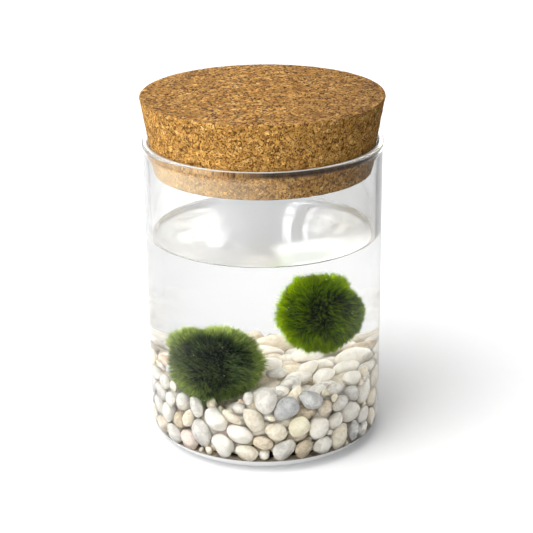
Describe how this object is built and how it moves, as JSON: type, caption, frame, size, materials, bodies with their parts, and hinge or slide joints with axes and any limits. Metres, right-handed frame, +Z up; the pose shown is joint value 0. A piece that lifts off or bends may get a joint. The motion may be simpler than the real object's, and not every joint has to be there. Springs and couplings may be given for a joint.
{
  "type": "marimo moss balls in a corked glass jar",
  "caption": "Cylindrical glass jar with a tapered cork, holding water over a bed of smooth pebbles, with one moss ball resting on the bed and one afloat.",
  "frame": {"origin": "centre of the jar's foot, on the surface that it stands on", "axes": "+Z up along the jar's axis; the side shown in the picture faces -Y"},
  "size_m": [0.0808, 0.0808, 0.12],
  "materials": {
    "glass": "clear, polished",
    "cork": "pressed cork granules, matte",
    "water": "clear still water",
    "moss_dark": "dense bluish green algae threads",
    "moss_light": "dense grass green algae threads",
    "pebble": "smooth worn pebbles, wet"
  },
  "bodies": {
    "root": {"glass_jar": "glass", "cork_stopper": "cork", "water": "water", "moss_ball_resting": "moss_dark", "moss_ball_floating": "moss_light", "pebble_bed": "pebble", "pebble_01": "pebble", "pebble_02": "pebble", "pebble_03": "pebble", "pebble_04": "pebble", "pebble_05": "pebble", "pebble_06": "pebble", "pebble_07": "pebble", "pebble_08": "pebble", "pebble_09": "pebble", "pebble_10": "pebble", "pebble_11": "pebble", "pebble_12": "pebble", "pebble_13": "pebble", "pebble_14": "pebble", "pebble_15": "pebble", "pebble_16": "pebble", "pebble_17": "pebble", "pebble_18": "pebble", "pebble_19": "pebble", "pebble_20": "pebble", "pebble_21": "pebble", "pebble_22": "pebble", "pebble_23": "pebble", "pebble_24": "pebble", "pebble_25": "pebble", "pebble_26": "pebble", "pebble_27": "pebble", "pebble_28": "pebble", "pebble_29": "pebble", "pebble_30": "pebble", "pebble_31": "pebble", "pebble_32": "pebble", "pebble_33": "pebble", "pebble_34": "pebble", "pebble_35": "pebble", "pebble_36": "pebble", "pebble_37": "pebble", "pebble_38": "pebble", "pebble_39": "pebble", "pebble_40": "pebble"}
  },
  "joints": []
}
